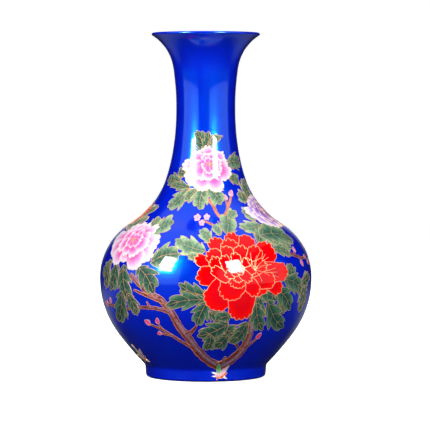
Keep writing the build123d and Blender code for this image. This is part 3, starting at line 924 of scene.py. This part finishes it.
def slab(name, chart, triangles, owners, cells):
    """A closed slab of enamel that follows the wall, over some of the chart's triangles."""
    used, local = np.unique(triangles, return_inverse=True)
    local = local.reshape(-1, 3)
    azimuth, height = chart[used, 0] / CHART, chart[used, 1]
    top = wall_point(azimuth, height, np.full(len(used), CELL_RISE))
    bottom = wall_point(azimuth, height, np.full(len(used), -CELL_ROOT))
    edges = np.concatenate([local[:, [0, 1]], local[:, [1, 2]], local[:, [2, 0]]])
    directed = {(int(a), int(b)) for a, b in edges}
    rim = [(a, b) for a, b in directed if (b, a) not in directed]
    n = len(used)
    faces = local.tolist() + (local[:, ::-1] + n).tolist() + [(b, a, a + n, b + n) for a, b in sorted(rim)]
    mesh = bpy.data.meshes.new(name)
    mesh.from_pydata(np.vstack([top, bottom]).tolist(), [], faces)
    values = np.zeros((len(mesh.loops), 4), np.float32)
    for number in np.unique(owners):
        mine = np.flatnonzero(owners == number)
        cell = cells[number]
        along, across = cell.measure(from_chart(chart[triangles[mine].ravel()], cell.facing))
        loops = (mine[:, None] * 3 + np.arange(3)).ravel()
        values[loops, 0], values[loops, 1], values[loops, 2] = along, across, cell.tone
    attribute = mesh.color_attributes.new("cell", "FLOAT_COLOR", "CORNER")
    attribute.data.foreach_set("color", values.ravel())
    return mesh


def seen_runs(line, closed, above):
    """The stretches of a line that no cell in front of it covers."""
    hidden = np.zeros(len(line), bool)
    for cell in above:
        hidden |= cell.holds(line)
    if not hidden.any():
        return [(line, closed)]
    if closed:
        first = int(np.flatnonzero(hidden)[0])
        line, hidden = np.roll(line, -first, axis=0), np.roll(hidden, -first)
        line, hidden = np.vstack([line, line[:1]]), np.append(hidden, True)
    runs, start = [], None
    for i, covered in enumerate(hidden):
        if not covered and start is None:
            start = i
        if start is not None and (covered or i == len(line) - 1):
            first, last = max(0, start - 1), i + 1
            if last - first > 2:
                runs.append((line[first:last], False))
            start = None
    return runs


# The section of a wire: across as a share of half its width, and up, where 1 is its top and -0.5 its root.
SECTION = [(-1.0, 0.25), (-0.55, 0.9), (0.0, 1.0), (0.55, 0.9), (1.0, 0.25), (0.8, -0.5), (-0.8, -0.5)]


def wire_tube(line, closed, width, seed):
    """A flat-bellied wire that lies on the wall: its vertices and faces."""
    azimuth, height = line[:, 0] / CHART, line[:, 1]
    places = wall_point(azimuth, height, np.zeros(len(line)))
    normals = normal_at(azimuth, height)
    if closed:
        ahead, behind = np.roll(places, -1, axis=0), np.roll(places, 1, axis=0)
    else:
        ahead, behind = np.vstack([places[1:], places[-1:]]), np.vstack([places[:1], places[:-1]])
    aside = np.cross(normals, ahead - behind)
    aside /= np.maximum(np.linalg.norm(aside, axis=1), 1e-9)[:, None]
    wander = np.random.default_rng(seed).uniform(0.85, 1.15, len(line))
    vertices = []
    for place, normal, side, share in zip(places, normals, aside, wander):
        for across, up in SECTION:
            rise = up * WIRE_RISE if up > 0 else up * 2 * WIRE_ROOT
            vertices.append(place + side * across * share * width / 2 * MM + normal * rise * MM)
    n, count = len(SECTION), len(line)
    faces = []
    for ring in range(count if closed else count - 1):
        after = (ring + 1) % count
        for i in range(n):
            j = (i + 1) % n
            faces.append((ring * n + j, ring * n + i, after * n + i, after * n + j))
    if not closed:
        faces.append(tuple(range(n)))
        faces.append(tuple((count - 1) * n + i for i in reversed(range(n))))
    return vertices, faces


def wire_mesh(name, cells, above):
    """All the wires of a group as one mesh of closed tubes. `above` holds the cells of later groups."""
    vertices, faces = [], []
    for number, cell in enumerate(cells):
        in_front = cells[number + 1 :] + above
        covers = [c for c in in_front if np.all(c.low < cell.high) and np.all(c.high > cell.low)]
        lines = [(line, False, width) for line, width in cell.lines]
        for line, closed, width in [(cell.outline, True, cell.wire)] + lines:
            for run, whole in seen_runs(line, closed, covers):
                new_vertices, new_faces = wire_tube(run, whole, width, len(vertices))
                faces += [tuple(len(vertices) + i for i in face) for face in new_faces]
                vertices += new_vertices
    mesh = bpy.data.meshes.new(name)
    mesh.from_pydata(vertices, [], faces)
    return mesh


def decorate(materials):
    """Every group of the picture as one piece of enamel and one piece of wire, in place of the CAD's."""
    groups = picture()
    cells = [cell for group in groups for cell in group[3]]
    chart, triangles, owners = cut_into_triangles(cells)
    start = 0
    for name, kind, slot, own in groups:
        end = start + len(own)
        mine = (owners >= start) & (owners < end)
        mesh = slab(f"{name}_enamel", chart, triangles[mine], owners[mine] - start, own)
        add_piece(f"{name}_enamel", mesh, materials[kind], slot, f"{name}_cells")
        mesh = wire_mesh(f"{name}_cloisons", own, cells[end:])
        finish = materials[f"{kind} wire" if kind in ("leaf", "bark") else "wire"]
        add_piece(f"{name}_cloisons", mesh, finish, "gilt_wire", f"{name}_wires")
        start = end


# --- the studio ---

CAMERA_PLACE = (0.0094, -2.4, 0.265)
LOOKING_DOWN = 2.4  # degrees
LENS = 197.1  # a long lens, so that the vase fills the height of the frame
LIT_PLACE = Vector((0, 0, 0.15))  # what every light shines at


def studio():
    """The room, a pale sweep under and round the vase, the soft lights and the camera."""
    scene = bpy.context.scene
    scene.view_settings.view_transform = "Standard"
    room()
    sweep()
    # The windows and the dimmer panels only show in the glaze. The keys and the fill only light the colours.
    soft_light("left_window", -43.9, 26.5, 0.4, 0.63, power=28, spin=-4, glossy=True)
    soft_light("right_window", 32.5, 24.5, 0.4, 0.52, power=24, spin=6, glossy=True)
    soft_light("left_panel", -60, 9, 2.4, 1.1, power=7, distance=1.9, glossy=True)
    soft_light("right_panel", 54, 9, 3.2, 1.1, power=8.5, distance=1.9, glossy=True)
    soft_light("left_key", -40, 32, 0.9, 0.9, power=18)
    soft_light("right_key", 35, 32, 0.9, 0.9, power=17)
    soft_light("back_key", 180, 30, 1.2, 0.9, power=14)
    soft_light("low_fill", 0, 1, 0.9, 0.4, power=7)

    camera = bpy.data.objects.new("camera", bpy.data.cameras.new("camera"))
    camera.data.lens = LENS
    camera.data.sensor_width = 36.0
    camera.data.clip_end = 50.0
    camera.location = CAMERA_PLACE
    camera.rotation_euler = (radians(90 - LOOKING_DOWN), 0, 0)
    scene.collection.objects.link(camera)
    scene.camera = camera


def room():
    """The room: a soft white straight behind the vase and above it, and nearly dark all round otherwise."""
    world = bpy.data.worlds.new("studio_room")
    world.use_nodes = True
    nodes, links = world.node_tree.nodes, world.node_tree.links
    place, split = nodes.new("ShaderNodeTexCoord"), nodes.new("ShaderNodeSeparateXYZ")
    links.new(place.outputs["Generated"], split.inputs[0])
    sides = []
    for axis, low, high, dim, bright in (("Y", 0.78, 0.97, 0.02, 0.45), ("Z", 0.5, 0.9, 0.0, 0.6)):
        side = nodes.new("ShaderNodeMapRange")
        side.interpolation_type = "SMOOTHSTEP"
        for name, value in (("From Min", low), ("From Max", high), ("To Min", dim), ("To Max", bright)):
            side.inputs[name].default_value = value
        links.new(split.outputs[axis], side.inputs["Value"])
        sides.append(side.outputs["Result"])
    brighter = nodes.new("ShaderNodeMath")
    brighter.operation = "MAXIMUM"
    links.new(sides[0], brighter.inputs[0])
    links.new(sides[1], brighter.inputs[1])
    links.new(brighter.outputs[0], nodes["Background"].inputs["Strength"])
    nodes["Background"].inputs["Color"].default_value = (1, 1, 1, 1)
    bpy.context.scene.world = world


def sweep(flat=2.8, bend=1.2, height=4.0, segments=96):
    """The floor and the backdrop: one pale sheet, flat in the middle and bent up to a wall all round."""
    path = [(flat + bend * sin(a), bend - bend * cos(a)) for a in np.linspace(0, pi / 2, 17)]
    path.append((flat + bend, height))
    turns = np.linspace(0, 2 * pi, segments, endpoint=False)
    vertices = [(r * cos(turn), r * sin(turn), z) for r, z in path for turn in turns]
    faces = [tuple(range(segments))]
    for low in range(0, (len(path) - 1) * segments, segments):
        for i in range(segments):
            j = (i + 1) % segments
            faces.append((low + i, low + segments + i, low + segments + j, low + j))
    mesh = bpy.data.meshes.new("floor")
    mesh.from_pydata(vertices, [], faces)
    mesh.polygons.foreach_set("use_smooth", [True] * len(mesh.polygons))
    floor = bpy.data.objects.new("floor", mesh)
    bpy.context.scene.collection.objects.link(floor)
    mesh.materials.append(floor_paint())


def floor_paint():
    """Pale to the eye. To all other rays it is nearly black, a painted shade in the glaze and in the light it
    bounces onto the vase, but for a painted sheen that glows in the glaze close behind the vase and high
    behind it.
    """
    s = Shader("pale_floor")
    ray = s.node("ShaderNodeLightPath", {})
    seen, mirrored = ray.outputs["Is Camera Ray"], ray.outputs["Is Glossy Ray"]
    place = s.node("ShaderNodeNewGeometry", {}).outputs["Position"]
    x, y, z = s.node("ShaderNodeSeparateXYZ", {0: place}).outputs
    aside = s.node("ShaderNodeMath", {0: x}, operation="ABSOLUTE").outputs[0]
    # Where the floor glows for glossy rays, a painted reflection in the glaze: close behind the vase, and
    # higher up behind it, fading out to the sides.
    close = s.times(s.span(y, 0.0, 0.18, low=0.04, high=0.2), s.span(y, 1.0, 0.0, low=0.35, high=0.9))
    high = s.times(s.span(y, 0.0, 1.0, low=0.04, high=0.2), s.span(z, 0.0, 0.5, low=0.05, high=0.5))
    behind = s.times(s.add(close, high), s.span(aside, 1.0, 0.0, low=0.5, high=1.5))
    pale = s.ramp(s.noise(3.0), (0.3, (0.88, 0.88, 0.88)), (0.7, (0.92, 0.92, 0.92)))
    # To all but camera rays the floor is nearly black: painted shade in the glaze and in the light bounced
    # onto the vase.
    s.set(Base_Color=s.mix(seen, (0.02, 0.02, 0.03), pale), Roughness=0.8, Specular_IOR_Level=0.1)
    # For glossy rays the floor glows in those bands, a painted sheen; for camera rays it glows evenly pale.
    glow = s.add(s.times(behind, mirrored), s.span(seen, 0.0, 0.8, 0.0, 1.0))
    s.set(Emission_Color=(1, 1, 1), Emission_Strength=glow)
    return s.material


def soft_light(name, azimuth, elevation, width, height, power, spin=0, distance=1.5, glossy=False):
    """A rectangular light that shines at the vase, spun by some degrees about the way it shines."""
    lamp = bpy.data.lights.new(name, "AREA")
    lamp.shape = "RECTANGLE"
    lamp.size, lamp.size_y, lamp.energy = width, height, power
    light = bpy.data.objects.new(name, lamp)
    a, e = radians(azimuth), radians(elevation)
    away = Vector((sin(a) * cos(e), -cos(a) * cos(e), sin(e)))
    light.location = LIT_PLACE + away * distance
    light.rotation_euler = away.to_track_quat("Z", "Y").to_euler()
    light.rotation_euler.rotate_axis("Z", radians(spin))
    light.visible_glossy, light.visible_diffuse = glossy, not glossy
    bpy.context.scene.collection.objects.link(light)


materials = make_materials()
dress_cad(materials)
vessel(materials)
decorate(materials)
studio()
